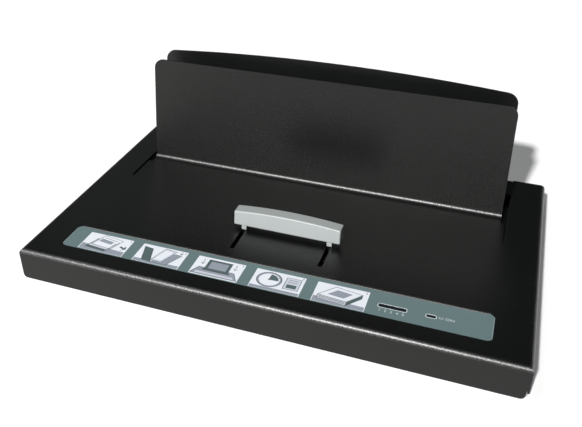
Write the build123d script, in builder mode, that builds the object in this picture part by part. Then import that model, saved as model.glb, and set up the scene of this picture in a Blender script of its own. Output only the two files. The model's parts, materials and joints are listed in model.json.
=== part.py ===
"""A thermal binding machine: a low folded-steel casing whose top sheet turns up into the
front clamp plate, and a sliding carriage that carries the handle and the back clamp plate.

Millimetres.  +X is the width, +Y runs to the back, +Z is up.  The origin lies on the table,
under the middle of the machine.
"""
import os

from build123d import *

os.makedirs("parts", exist_ok=True)

# ---- Sheet metal --------------------------------------------------------------------------
sheet = 1.5                   # steel of the covers, the carriage and the clamp plates
tray_sheet = 1.2              # steel of the base tray
bend = 4.5                    # outer radius of the top cover's folded edges
rear_bend = 2.0               # and of the back cover's
fit_gap = 0.3                 # play between neighbouring pieces
slide_gap = 0.3               # play of the carriage in its guides

# ---- Across the machine -------------------------------------------------------------------
paper_length = 297.0          # the long side of the sheets that are bound
heater_margin = 3.5           # heater plate beyond each end of the sheets
heater_to_rail = 3.7          # from the end of the heater plate to the guide rail
rail_wall = 2.0               # wall of the moulded guide rails
arm_width = 16.8              # each side arm of the carriage
arm_to_mouth = 0.8            # from the arm's outer edge to the side of the mouth
mouth_side = 5.8              # from the side edge of a clamp plate to the side of the mouth
side_strip = 29.4             # from the side of the mouth to the side of the casing

# ---- Front to back ------------------------------------------------------------------------
plate_setback = 206.0         # from the front of the casing to the front clamp plate
jaw_opening = 25.3            # between the clamp plates, as the clamp stands half open
closed_gap = 0.9              # between the plates when the clamp is shut
open_travel = 14.5            # of the clamp from where it stands to fully open
mouth_gap = 0.5               # left behind the fully open clamp
rear_strip = 32.4             # from the mouth to the back of the casing
handle_setback = 99.2         # from the front of the casing to the handle
slot_run = 33.0               # of the handle's slots, in front of its posts

# ---- Heights ------------------------------------------------------------------------------
lip_clearance = 2.5           # the lip's lower edge above the table
casing_height = 27.5          # the lip, from its lower edge to the top face
lip_corner = 3.8              # rounded lower corners of the lip
corner_taper = 3.0            # the lip and the flanges draw back from their corner, at the bottom
corner_seam = 0.5             # open seam between the lip and a side flange
seam_hole = 1.2               # radius of the relief hole at the seam's end
front_plate_height = 106.9    # above the top face
front_plate_corner = 9.0
plate_bend = 4.0              # inner radius where the top sheet turns up
back_plate_height = 107.8     # above the top face, at its ends
back_plate_crown = 7.2        # how much higher its arched edge is in the middle
back_plate_corner = 10.0
back_plate_inset = 1.4        # of each end, from that of the front plate

# ---- Slits beside the front clamp plate ---------------------------------------------------
notch_run = 11.5              # the wide part, in front of the plate
slit_run = 35.2               # the narrow part, in front of the notch
slit_width = 2.4

# ---- Printed strip and its windows --------------------------------------------------------
overlay_length = 351.4
overlay_depth = 33.9
overlay_setback = 20.0        # from the front of the casing
overlay_corner = 5.0
overlay_thickness = 0.4
overlay_play = 0.4
recess_depth = 1.0
window_setback = 14.8         # from the strip's front edge to the middle of the windows
time_window_length = 20.2
time_window_depth = 3.4
heat_window_inset = 44.2      # from the strip's right end to the middle of the window
window_spacing = 28.6         # between the middles of the two windows
heat_window_length = 6.2
heat_window_depth = 2.6
window_rim = 1.0              # the rim that holds a window under the sheet
window_play = 0.1
window_corner = 0.3           # of the holes for the windows

# ---- Handle -------------------------------------------------------------------------------
handle_length = 94.2
handle_depth = 12.5
handle_height = 13.2          # at its ends
handle_crown = 2.5
handle_lift = 4.2             # of its underside above the top face
handle_edge = 1.2
post_spacing = 76.0
post_setback = 1.6            # of the posts from the handle's face
post_width = 3.0
post_depth = 6.0
post_tenon = 5.0              # of the posts into the handle
post_play = 0.4               # to each side of a post in its slot
post_seat = 0.1               # from a post to its ear, and around its tenon
slot_corner = 0.5
nub_wall = 0.6                # of the handle's short nubs around the posts
nub_gap = 0.4                 # from the nubs to the top sheet
ear_depth = 9.0               # turned-up ears of the carriage, beside the posts
ear_gap = 0.8                 # from an ear to the top sheet

# ---- Carriage and its guide rails ---------------------------------------------------------
carriage_drop = 6.0           # from the top sheet down to the carriage plate
flange_drop = 1.5             # from the top sheet down to its turned-up flanges
flange_setback = 8.0          # of the flanges from the carriage's front edge
cross_lead = 12.5             # plate under the handle, in front of the handle's face
cross_depth = 40.0
carriage_corner = 6.0
tab_width = 6.8               # turned-up tabs behind the back clamp plate
tab_height = 24.0
tab_corner = 2.5
tab_screw_margin = 1.2        # from a screw head to the tab's end, and to the top sheet
tab_clearance = 0.8           # from a tab to the rail's hook
hook_reach = 3.0              # of the rail's hook over the carriage
hook_thickness = 1.5
rail_start = 5.0              # rail's front, behind the carriage's front when clamped
hook_margin = 4.0             # the hook ends this far before what moves above it
fence_drop = 1.0              # from the top sheet down to the rail's outer fence
boss_length = 9.0
boss_inset = 14.0             # of the end bosses from the rail's ends

# ---- Heater -------------------------------------------------------------------------------
heater_standoff = 8.2         # heater plate above the tray
heater_thickness = 4.0
heater_rear_gap = 3.4         # from the fully open back clamp plate to the heater plate
guard_thickness = 2.0         # upstand in front of the spine
guard_gap = 0.6               # from the upstand to the top sheet
guard_edge = 0.8              # rounding of the upstand
heater_skin = 1.0             # left above the blind screw holes
screw_tip_gap = 0.5           # from a screw's tip to the end of its blind hole
plate_over_heater = 0.5
element_thickness = 1.8
element_depth = 24.0
element_inset = 14.0
strip_thickness = 1.2
strip_depth = 18.0
strip_screw_pitch = 110.0
insulation_thickness = 0.8
spacer_radius = 4.0
spacer_inset = 6.0
thermostat_x = -52.0
thermostat_length = 20.0
thermostat_depth = 11.0
thermostat_thickness = 3.8
thermostat_corner = 1.0
fuse_x = 52.0
fuse_length = 12.0
fuse_radius = 1.9

# ---- Control board ------------------------------------------------------------------------
board_length = 88.0
board_depth = 28.0
board_thickness = 1.6
board_end = 12.0              # from the heat window to the board's end
board_hole_inset = 4.0
board_corner = 1.0
board_screw_reach = 5.0       # of the board's screws into their standoffs
led_height = 5.0
led_radius = 1.5
led_dome = 1.2
led_pitch = 4.0
led_count = 5
led_gap = 0.3                 # between an LED and its window
standoff_radius = 3.0
transformer_length = 24.0
transformer_depth = 20.0
relay_length = 15.0
relay_depth = 19.0
capacitor_radius = 5.0
buzzer_radius = 6.0
buzzer_height = 6.0
buzzer_hole_radius = 1.0
buzzer_hole_depth = 1.0
terminal_block_length = 9.0
terminal_block_height = 9.0
terminal_poles = 3
terminal_pitch = 3.8
terminal_hole_radius = 1.2
terminal_hole_depth = 3.0
component_edge = 0.6          # rounded lower edges
component_gap = 1.5           # between neighbours under the board
component_floor_gap = 2.0     # under the tallest of them

# ---- Back wall ----------------------------------------------------------------------------
inlet_x = 150.0
inlet_flange = 2.0
inlet_flange_length = 50.0
inlet_flange_height = 22.4
inlet_flange_corner = 4.5
inlet_body_length = 27.4
inlet_body_height = 19.6
inlet_body_depth = 16.5
inlet_wall = 1.5
inlet_socket_depth = 14.0
inlet_chamfer = 4.5           # of the two upper corners of its body
inlet_hole_spacing = 40.0
pin_pitch = 7.0
pin_offset = 3.0
pin_width = 2.0
pin_height = 4.0
pin_recess = 2.0              # pin tips below the inlet's face
blade_width = 6.0             # of the tabs for the wires, on the inlet and the switch
blade_thickness = 0.8
blade_length = 4.0
switch_x = 104.0
switch_bezel = 1.5
switch_bezel_length = 21.0
switch_bezel_height = 15.0
switch_bezel_corner = 1.0
switch_body_length = 19.2
switch_body_height = 12.9
switch_body_depth = 15.0
switch_blade_pitch = 9.6
rocker_length = 15.6
rocker_height = 9.6
rocker_thickness = 4.0
rocker_dish = 1.1             # depth of the shallow V in its face
rocker_taper = 1.5
rocker_pivot_depth = 3.0      # of its pins behind its face
rocker_rise = 0.8             # of its ends behind the wall, when level
rocker_tilt = 8.0             # degrees to each side of level
rocker_pin = 1.0
rocker_pin_length = 1.0
rocker_pin_play = 0.1
rocker_gap = 0.8              # to the housing, beyond each end
rocker_side_gap = 0.3         # to the housing, along each side
pocket_depth = 7.5
wall_play = 0.2               # of the inlet and the switch in the wall

# ---- Feet, screws, tray ------------------------------------------------------------------
foot_radius = 8.0
foot_taper = 1.0
foot_stem = 2.4
foot_bulb = 3.2
foot_inset_x = 15.0
foot_inset_y = 18.0
return_depth = 8.0            # flange of the back cover, under the tray
return_screw_gap = 6.3        # from the outer ones of its screws to the inlet's body
hem_depth = 5.0               # turned-down edge of the back cover at the mouth
screw_radius = 1.5            # M3
screw_play = 0.15
thread_reach = 2.0            # of a screw beyond the sheet that it is tapped into
head_radius = 2.8
head_height = 1.4
head_round = 0.7
handle_screw_radius = 1.25    # M2.5
handle_head_radius = 2.2
sunk_screw_length = 6.0
sunk_head_depth = 1.2
side_screw_spacing = 150.0
tray_wall = 14.0
vent_length = 16.0
vent_width = 3.0
vent_columns = 9
vent_rows = 3
vent_pitch_x = 24.0
vent_pitch_y = 9.0
vent_setback = 148.0          # from the front of the casing to the middle of the vents
earth_radius = 2.0
earth_height = 9.0
earth_inset_x = 14.0
earth_inset_y = 40.0
nut_radius = 4.0
nut_height = 3.2

# ---- Planes and edges that the pieces share ------------------------------------------------
heater_half = paper_length / 2 + heater_margin
rail_inner = heater_half + heater_to_rail
hook_wall = rail_inner + rail_wall
arm_inner = hook_wall + slide_gap
arm_outer = arm_inner + arm_width
mouth_half = arm_outer + arm_to_mouth
plate_half = mouth_half - mouth_side
back_half = plate_half - back_plate_inset
half_width = mouth_half + side_strip
fence_inner = arm_outer + slide_gap
fence_outer = fence_inner + rail_wall

mouth_rear = open_travel + sheet + head_height + mouth_gap
casing_depth = plate_setback + sheet + jaw_opening + sheet + mouth_rear + rear_strip
close_travel = jaw_opening - closed_gap
front_y = -(casing_depth + inlet_flange) / 2
rear_y = front_y + casing_depth
casing_mid_y = (front_y + rear_y) / 2
plate_front_y = front_y + plate_setback
plate_rear_y = plate_front_y + sheet
back_front_y = plate_rear_y + jaw_opening
back_rear_y = back_front_y + sheet
mouth_rear_y = back_rear_y + mouth_rear
mouth_front_y = plate_front_y - plate_bend
notch_front_y = plate_front_y - notch_run
handle_front_y = front_y + handle_setback
post_front_y = handle_front_y + post_setback
cross_front_y = handle_front_y - cross_lead
cross_rear_y = cross_front_y + cross_depth

top_z = lip_clearance + casing_height
under_top_z = top_z - sheet
tray_z = lip_clearance + sheet
floor_z = tray_z + tray_sheet
wall_mid_z = lip_clearance + casing_height / 2
carriage_top_z = under_top_z - carriage_drop
carriage_z = carriage_top_z - sheet
shelf_z = carriage_z - slide_gap
hook_z = carriage_top_z + slide_gap
hook_top_z = hook_z + hook_thickness
heater_z = floor_z + heater_standoff
heater_top_z = heater_z + heater_thickness
strip_z = heater_z - element_thickness - strip_thickness

overlay_y = front_y + overlay_setback + overlay_depth / 2
window_y = front_y + overlay_setback + window_setback
heat_window_x = overlay_length / 2 - heat_window_inset
time_window_x = heat_window_x - window_spacing
recess_z = top_z - recess_depth
pad_z = recess_z - sheet
overlay_top_z = recess_z + overlay_thickness
rim_z = pad_z - window_rim
board_top_z = rim_z - led_gap - led_height
board_z = board_top_z - board_thickness
board_x = heat_window_x + board_end - board_length / 2

inner_half = half_width - sheet
inner_front_y = front_y + sheet
inner_rear_y = rear_y - sheet
tray_half = inner_half - fit_gap
tray_front_y = inner_front_y + fit_gap
tray_rear_y = rear_y - rear_bend - fit_gap

slot_front_y = post_front_y - slot_run
slot_rear_y = post_front_y + post_depth + open_travel + post_play

heater_front_y = plate_rear_y - guard_thickness
heater_rear_y = back_front_y + open_travel - heater_rear_gap
heater_mid_y = (heater_front_y + heater_rear_y) / 2

rail_front_y = cross_front_y - close_travel + rail_start
rail_rear_y = mouth_rear_y - fit_gap
hook_front_y = cross_rear_y + open_travel + hook_margin
hook_rear_y = back_front_y - hook_margin
tab_x = hook_wall + hook_reach + tab_clearance + tab_width / 2
tab_top_z = carriage_top_z + tab_height

sides = (-1, 1)
foot_points = [
    (side * (half_width - foot_inset_x), y)
    for side in sides
    for y in (front_y + foot_inset_y, rear_y - foot_inset_y)
]
board_holes = [
    (board_x + side * (board_length / 2 - board_hole_inset),
     window_y + end * (board_depth / 2 - board_hole_inset))
    for side in sides
    for end in sides
]
spacer_points = [
    (side * (heater_half - spacer_inset), y)
    for side in sides
    for y in (heater_front_y + spacer_inset, heater_rear_y - spacer_inset)
]
rail_mid_x = (rail_inner + fence_outer) / 2
rail_boss_ys = (rail_front_y + boss_inset, (rail_front_y + rail_rear_y) / 2, rail_rear_y - boss_inset)
rail_screw_points = [(side * rail_mid_x, y) for side in sides for y in rail_boss_ys]
return_x = inlet_x - inlet_body_length / 2 - return_screw_gap
return_points = [(n * return_x, rear_y - return_depth + head_radius) for n in (-1, 0, 1)]
strip_screw_points = [(n * strip_screw_pitch, heater_mid_y) for n in (-1, 0, 1)]
side_screw_planes = [
    Plane((side * half_width, casing_mid_y + end * side_screw_spacing / 2, floor_z + tray_wall / 2),
          z_dir=(side, 0, 0))
    for side in sides
    for end in sides
]
inlet_holes = [(inlet_x + side * inlet_hole_spacing / 2, wall_mid_z) for side in sides]
inlet_screw_planes = [Plane((x, rear_y + inlet_flange, z), z_dir=(0, 1, 0)) for x, z in inlet_holes]
tab_screw_zs = (top_z + head_radius + tab_screw_margin, tab_top_z - head_radius - tab_screw_margin)
earth_x = half_width - earth_inset_x
earth_y = rear_y - earth_inset_y


def level(height):
    """A horizontal plane."""
    return Plane.XY.offset(height)


def upright(y):
    """A plane across the machine, seen from the front: its normal points to the front."""
    return Plane.XZ.offset(-y)


def block(x_from, x_to, y_from, y_to, z_from, z_to, corner=0.0, mode=Mode.ADD):
    """Join or cut a block, with upright corners rounded on request."""
    with BuildSketch(level(z_from)) as outline:
        with Locations(((x_from + x_to) / 2, (y_from + y_to) / 2)):
            if corner:
                RectangleRounded(x_to - x_from, y_to - y_from, corner)
            else:
                Rectangle(x_to - x_from, y_to - y_from)
    extrude(outline.sketch, amount=z_to - z_from, mode=mode)


def drill(plane, points, radius, depth):
    """Cut round holes from a plane against its normal."""
    with BuildSketch(plane) as outline:
        with Locations(*points):
            Circle(radius)
    extrude(outline.sketch, amount=-depth, mode=Mode.SUBTRACT)


def pan_screws(plane, points, length, radius=screw_radius, head=head_radius, side=1):
    """Screws with their heads on one side of a plane and their shanks through to the other."""
    with BuildPart() as screws:
        with BuildSketch(plane):
            with Locations(*points):
                Circle(head)
        extrude(amount=side * head_height)
        rims = screws.edges().group_by(Axis(plane.origin, plane.z_dir * side))[-1]
        fillet(rims, head_round)
        with BuildSketch(plane):
            with Locations(*points):
                Circle(radius)
        extrude(amount=-side * length)
    return screws


def sunk_screws(planes):
    """Countersunk screws, flush with their planes."""
    with BuildPart() as screws:
        with Locations(*planes):
            Cone(screw_radius, head_radius - screw_play, sunk_head_depth,
                 align=(Align.CENTER, Align.CENTER, Align.MAX))
            Cylinder(screw_radius, sunk_screw_length, align=(Align.CENTER, Align.CENTER, Align.MAX))
    return screws


# ---- Top cover: one folded sheet with the front clamp plate --------------------------------
with BuildPart() as cover_inside:
    block(-inner_half, inner_half, inner_front_y, rear_y + bend, lip_clearance - bend, under_top_z)
    fillet(cover_inside.faces().sort_by(Axis.Z)[-1].edges().sort_by(Axis.Y)[:-1], bend - sheet)

with BuildPart() as top_cover:
    block(-half_width, half_width, front_y, rear_y, lip_clearance, top_z)
    fillet(top_cover.faces().sort_by(Axis.Z)[-1].edges().sort_by(Axis.Y)[:-1], bend)
    add(cover_inside.part, mode=Mode.SUBTRACT)

    # Open corner seams, with a relief hole where each one meets the bends.
    for side in sides:
        with BuildSketch(Plane.YZ.offset(side * half_width)):
            with Locations((inner_front_y + corner_seam / 2, (lip_clearance + top_z - bend) / 2)):
                Rectangle(corner_seam, casing_height - bend)
            with Locations((inner_front_y + corner_seam / 2, top_z - bend)):
                Circle(seam_hole)
            with BuildLine():
                seam_y = inner_front_y + corner_seam
                Polyline((seam_y, top_z - bend), (seam_y, lip_clearance),
                         (seam_y + corner_taper, lip_clearance), close=True)
            make_face()
        extrude(amount=-side * sheet, mode=Mode.SUBTRACT)
        with BuildSketch(upright(front_y)):
            with BuildLine():
                Polyline((side * half_width, top_z - bend), (side * half_width, lip_clearance),
                         (side * (half_width - corner_taper), lip_clearance), close=True)
            make_face()
        extrude(amount=-sheet, mode=Mode.SUBTRACT)
    low_edges = top_cover.edges().group_by(Axis.Z)[0]
    lip_ends = low_edges.filter_by(Axis.Y).sort_by(Axis.Y)[:2]
    flange_fronts = low_edges.filter_by(Axis.X).sort_by(Axis.Y)[2:4]
    fillet(lip_ends + flange_fronts, lip_corner)

    # Pressed recess for the printed strip, and the window holes in it.
    reach = overlay_length / 2 + overlay_play
    depth = overlay_depth / 2 + overlay_play
    block(-reach - sheet, reach + sheet, overlay_y - depth - sheet, overlay_y + depth + sheet,
          pad_z, under_top_z, overlay_corner + sheet)
    block(-reach, reach, overlay_y - depth, overlay_y + depth, recess_z, top_z,
          overlay_corner, Mode.SUBTRACT)
    for x, length, breadth in ((time_window_x, time_window_length, time_window_depth),
                               (heat_window_x, heat_window_length, heat_window_depth)):
        block(x - length / 2 - window_play, x + length / 2 + window_play,
              window_y - breadth / 2 - window_play, window_y + breadth / 2 + window_play,
              pad_z, recess_z, window_corner, Mode.SUBTRACT)

    # The mouth, open to the back; a notch and a slit run forward from its corners.
    block(-mouth_half, mouth_half, mouth_front_y, rear_y, under_top_z, top_z, mode=Mode.SUBTRACT)
    for side in sides:
        near, far = sorted((side * plate_half, side * mouth_half))
        block(near, far, notch_front_y, mouth_front_y, under_top_z, top_z, mode=Mode.SUBTRACT)
        near, far = sorted((side * (mouth_half - slit_width), side * mouth_half))
        block(near, far, notch_front_y - slit_run, notch_front_y, under_top_z, top_z,
              mode=Mode.SUBTRACT)

    # Slots for the handle's posts.
    slot_half = post_width / 2 + post_play
    for side in sides:
        x = side * post_spacing / 2
        block(x - slot_half, x + slot_half, slot_front_y, slot_rear_y, under_top_z, top_z,
              slot_corner, Mode.SUBTRACT)

    # The front clamp plate, turned up from the same sheet.
    with BuildSketch(Plane.YZ):
        with BuildLine():
            centre = (mouth_front_y, top_z + plate_bend)
            inner = CenterArc(centre, plate_bend, -90, 90)
            outer = CenterArc(centre, plate_bend + sheet, -90, 90)
            Line(outer @ 0, inner @ 0)
            Polyline(inner @ 1, (plate_front_y, top_z + front_plate_height),
                     (plate_rear_y, top_z + front_plate_height), outer @ 1)
        make_face()
    extrude(amount=plate_half, both=True)
    fillet(top_cover.edges().group_by(Axis.Z)[-1].filter_by(Axis.Y), front_plate_corner)

    # Countersunk holes for the side screws.
    for plane in side_screw_planes:
        with Locations(plane):
            CounterSinkHole(screw_radius + screw_play, head_radius + screw_play, sheet)

# ---- Back cover: wall, rear strip, hem at the mouth and flange under the tray ---------------
strip_half = mouth_half - fit_gap
with BuildPart() as rear_cover:
    with BuildSketch(Plane.YZ):
        section_y = (mouth_rear_y + rear_y) / 2
        section_depth = rear_y - mouth_rear_y
        with Locations((section_y, wall_mid_z)):
            RectangleRounded(section_depth, casing_height, rear_bend)
            RectangleRounded(section_depth - 2 * sheet, casing_height - 2 * sheet, rear_bend - sheet,
                             mode=Mode.SUBTRACT)
        with Locations((rear_y - return_depth, lip_clearance)):
            Rectangle(section_depth, casing_height - hem_depth, align=(Align.MAX, Align.MIN),
                      mode=Mode.SUBTRACT)
    extrude(amount=strip_half, both=True)
    block(-tray_half, tray_half, inner_rear_y, rear_y, lip_clearance + rear_bend, under_top_z - fit_gap)
    wing_edges = rear_cover.edges().filter_by(Axis.Y).filter_by_position(Axis.Y, inner_rear_y, rear_y)
    fillet(wing_edges.group_by(Axis.X)[0] + wing_edges.group_by(Axis.X)[-1], bend)
    block(inlet_x - inlet_body_length / 2 - wall_play, inlet_x + inlet_body_length / 2 + wall_play,
          inner_rear_y, rear_y, wall_mid_z - inlet_body_height / 2 - wall_play,
          wall_mid_z + inlet_body_height / 2 + wall_play, mode=Mode.SUBTRACT)
    block(switch_x - switch_body_length / 2 - wall_play, switch_x + switch_body_length / 2 + wall_play,
          inner_rear_y, rear_y, wall_mid_z - switch_body_height / 2 - wall_play,
          wall_mid_z + switch_body_height / 2 + wall_play, mode=Mode.SUBTRACT)
    drill(upright(inner_rear_y), inlet_holes, screw_radius + screw_play, sheet)
    drill(level(tray_z), return_points, screw_radius + screw_play, sheet)
rear_cover_screws = pan_screws(level(lip_clearance), return_points, sheet + tray_sheet + thread_reach,
                               side=-1)

# ---- Base tray ------------------------------------------------------------------------------
with BuildPart() as base_tray:
    block(-tray_half, tray_half, tray_front_y, tray_rear_y, tray_z, floor_z + tray_wall)
    block(-tray_half + tray_sheet, tray_half - tray_sheet, tray_front_y + tray_sheet, tray_rear_y,
          floor_z, floor_z + tray_wall, mode=Mode.SUBTRACT)
    drill(level(floor_z), foot_points, foot_stem + screw_play, tray_sheet)
    drill(level(floor_z), board_holes + spacer_points + rail_screw_points + return_points,
          screw_radius + screw_play, tray_sheet)
    drill(level(floor_z), [(earth_x, earth_y)], earth_radius + screw_play, tray_sheet)
    with BuildSketch(level(floor_z)):
        with Locations((0, front_y + vent_setback)):
            with GridLocations(vent_pitch_x, vent_pitch_y, vent_columns, vent_rows):
                SlotOverall(vent_length, vent_width)
    extrude(amount=-tray_sheet, mode=Mode.SUBTRACT)
    for plane in side_screw_planes:
        with Locations(plane.offset(tray_half - half_width)):
            Hole(screw_radius + screw_play, depth=tray_sheet)


# ---- Feet: pushed through the tray ----------------------------------------------------------
with BuildPart() as foot:
    with BuildSketch(Plane.XZ):
        with BuildLine():
            Polyline((0, 0), (foot_radius - foot_taper, 0), (foot_radius, foot_taper),
                     (foot_radius - foot_taper, tray_z), (foot_stem, tray_z), (foot_stem, floor_z),
                     (foot_bulb, floor_z), (foot_stem, floor_z + foot_bulb), (0, floor_z + foot_bulb),
                     close=True)
        make_face()
    revolve(axis=Axis.Z)
with BuildPart() as feet:
    with Locations(*foot_points):
        add(foot.part)

# ---- Side screws, sunk flush into the top cover's flanges -----------------------------------
side_screws = sunk_screws(side_screw_planes)

# ---- Printed strip and windows --------------------------------------------------------------
with BuildPart() as overlay_panel:
    block(-overlay_length / 2, overlay_length / 2, overlay_y - overlay_depth / 2,
          overlay_y + overlay_depth / 2, recess_z, overlay_top_z, overlay_corner)
    for x, length, breadth in ((time_window_x, time_window_length, time_window_depth),
                               (heat_window_x, heat_window_length, heat_window_depth)):
        block(x - length / 2 - window_play, x + length / 2 + window_play,
              window_y - breadth / 2 - window_play, window_y + breadth / 2 + window_play,
              recess_z, overlay_top_z, window_corner, Mode.SUBTRACT)


def window(x, length, breadth):
    """A clear window: a block through the sheet and the strip, on a rim that backs the sheet."""
    with BuildPart() as pane:
        block(x - length / 2, x + length / 2, window_y - breadth / 2, window_y + breadth / 2,
              pad_z, overlay_top_z, window_corner - window_play)
        block(x - length / 2 - window_rim, x + length / 2 + window_rim,
              window_y - breadth / 2 - window_rim, window_y + breadth / 2 + window_rim,
              rim_z, pad_z, window_rim)
    return pane


time_window = window(time_window_x, time_window_length, time_window_depth)
heat_window = window(heat_window_x, heat_window_length, heat_window_depth)


# ---- Control board, under the windows -------------------------------------------------------
def lights(points):
    """Round LEDs with domed tips, standing on the board."""
    with BuildPart() as group:
        with BuildSketch(level(board_top_z)):
            with Locations(*points):
                Circle(led_radius)
        extrude(amount=led_height)
        fillet(group.edges().group_by(Axis.Z)[-1], led_dome)
    return group


led_start_x = time_window_x - led_pitch * (led_count - 1) / 2
time_leds = lights([(led_start_x + n * led_pitch, window_y) for n in range(led_count)])
heat_led = lights([(heat_window_x, window_y)])

with BuildPart() as control_board:
    block(board_x - board_length / 2, board_x + board_length / 2, window_y - board_depth / 2,
          window_y + board_depth / 2, board_z, board_top_z, board_corner)
    drill(level(board_top_z), board_holes, screw_radius + screw_play, board_thickness)

with BuildPart() as board_standoffs:
    with BuildSketch(level(floor_z)):
        with Locations(*board_holes):
            RegularPolygon(standoff_radius, 6)
            Circle(screw_radius + screw_play, mode=Mode.SUBTRACT)
    extrude(amount=board_z - floor_z)
board_screws = pan_screws(level(board_top_z), board_holes, board_thickness + board_screw_reach)

component_drop = board_z - floor_z - component_floor_gap
board_left_x = board_x - board_length / 2
transformer_x = board_left_x + 2 * board_hole_inset + component_gap + transformer_length / 2
relay_x = transformer_x + transformer_length / 2 + component_gap + relay_length / 2
capacitor_x = relay_x + relay_length / 2 + component_gap + capacitor_radius
buzzer_x = capacitor_x + capacitor_radius + component_gap + buzzer_radius
terminal_block_x = board_left_x + terminal_block_length / 2

with BuildPart() as transformer:
    block(transformer_x - transformer_length / 2, transformer_x + transformer_length / 2,
          window_y - transformer_depth / 2, window_y + transformer_depth / 2,
          board_z - component_drop, board_z)
    fillet(transformer.edges().group_by(Axis.Z)[0], component_edge)
with BuildPart() as relay:
    block(relay_x - relay_length / 2, relay_x + relay_length / 2, window_y - relay_depth / 2,
          window_y + relay_depth / 2, board_z - component_drop, board_z)
    fillet(relay.edges().group_by(Axis.Z)[0], component_edge)
with BuildPart() as capacitor:
    with BuildSketch(level(board_z)):
        with Locations((capacitor_x, window_y)):
            Circle(capacitor_radius)
    extrude(amount=-component_drop)
    fillet(capacitor.edges().group_by(Axis.Z)[0], component_edge)
with BuildPart() as buzzer:
    with BuildSketch(level(board_z)):
        with Locations((buzzer_x, window_y)):
            Circle(buzzer_radius)
    extrude(amount=-buzzer_height)
    drill(level(board_z - buzzer_height + buzzer_hole_depth), [(buzzer_x, window_y)],
          buzzer_hole_radius, buzzer_hole_depth)
with BuildPart() as terminal_block:
    terminal_half = terminal_poles * terminal_pitch / 2
    block(board_left_x, board_left_x + terminal_block_length, window_y - terminal_half,
          window_y + terminal_half, board_z - terminal_block_height, board_z)
    with BuildSketch(level(board_z - terminal_block_height)):
        with Locations((terminal_block_x, window_y)):
            with GridLocations(0, terminal_pitch, 1, terminal_poles):
                Circle(terminal_hole_radius)
    extrude(amount=terminal_hole_depth, mode=Mode.SUBTRACT)

# ---- Heater, under the mouth ----------------------------------------------------------------
with BuildPart() as heater_plate:
    with BuildSketch(Plane.YZ):
        with BuildLine():
            Polyline((heater_front_y, heater_z), (heater_rear_y, heater_z),
                     (heater_rear_y, heater_top_z), (plate_rear_y, heater_top_z),
                     (plate_rear_y, under_top_z - guard_gap), (heater_front_y, under_top_z - guard_gap),
                     close=True)
        make_face()
        fillet(vertices().group_by(Axis.Y)[-1], guard_edge)
    extrude(amount=heater_half, both=True)
    blind = heater_thickness - heater_skin
    drill(-level(heater_z), [(x, -y) for x, y in spacer_points + strip_screw_points],
          screw_radius + screw_play, blind)

element_half = heater_half - element_inset
with BuildPart() as heating_element:
    block(-element_half, element_half, heater_mid_y - element_depth / 2,
          heater_mid_y + element_depth / 2, heater_z - element_thickness, heater_z)
    drill(level(heater_z), strip_screw_points, screw_radius + screw_play, element_thickness)
with BuildPart() as clamp_strip:
    block(-element_half, element_half, heater_mid_y - strip_depth / 2,
          heater_mid_y + strip_depth / 2, strip_z, strip_z + strip_thickness)
    drill(level(strip_z + strip_thickness), strip_screw_points, screw_radius + screw_play,
          strip_thickness)
clamp_strip_screws = pan_screws(level(strip_z), strip_screw_points,
                                strip_thickness + element_thickness + blind - screw_tip_gap, side=-1)
with BuildPart() as thermostat:
    block(thermostat_x - thermostat_length / 2, thermostat_x + thermostat_length / 2,
          heater_mid_y - thermostat_depth / 2, heater_mid_y + thermostat_depth / 2,
          strip_z - thermostat_thickness, strip_z, thermostat_corner)
with BuildPart() as thermal_fuse:
    with BuildSketch(Plane.YZ.offset(fuse_x - fuse_length / 2)):
        with Locations((heater_mid_y, strip_z - fuse_radius)):
            Circle(fuse_radius)
    extrude(amount=fuse_length)
with BuildPart() as insulation_sheet:
    block(-heater_half, heater_half, heater_front_y, heater_rear_y, floor_z,
          floor_z + insulation_thickness)
    drill(level(floor_z + insulation_thickness), spacer_points, spacer_radius + fit_gap,
          insulation_thickness)
with BuildPart() as heater_spacers:
    with BuildSketch(level(floor_z)):
        with Locations(*spacer_points):
            Circle(spacer_radius)
            Circle(screw_radius + screw_play, mode=Mode.SUBTRACT)
    extrude(amount=heater_standoff)
heater_screws = pan_screws(level(tray_z), spacer_points,
                           tray_sheet + heater_standoff + blind - screw_tip_gap, side=-1)

# ---- Guide rails for the carriage -----------------------------------------------------------
with BuildPart() as guide_rail_right:
    with BuildSketch(upright(rail_front_y)):
        with BuildLine():
            Polyline((rail_inner, floor_z), (rail_inner, shelf_z), (fence_inner, shelf_z),
                     (fence_inner, under_top_z - fence_drop), (fence_outer, under_top_z - fence_drop),
                     (fence_outer, floor_z), (fence_inner, floor_z), (fence_inner, shelf_z - rail_wall),
                     (hook_wall, shelf_z - rail_wall), (hook_wall, floor_z), close=True)
        make_face()
    extrude(amount=rail_front_y - rail_rear_y)
    with BuildSketch(upright(hook_front_y)):
        with BuildLine():
            Polyline((rail_inner, shelf_z), (rail_inner, hook_top_z), (hook_wall + hook_reach, hook_top_z),
                     (hook_wall + hook_reach, hook_z), (hook_wall, hook_z), (hook_wall, shelf_z),
                     close=True)
        make_face()
    extrude(amount=hook_front_y - hook_rear_y)
    for y in rail_boss_ys:
        block(hook_wall, fence_inner, y - boss_length / 2, y + boss_length / 2,
              floor_z, shelf_z - rail_wall)
    drill(-level(floor_z), [(rail_mid_x, -y) for y in rail_boss_ys], screw_radius + screw_play,
          shelf_z - rail_wall - floor_z)
with BuildPart() as guide_rail_left:
    mirror(guide_rail_right.part, about=Plane.YZ)
rail_screws = pan_screws(level(tray_z), rail_screw_points, tray_sheet + boss_length, side=-1)

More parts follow.
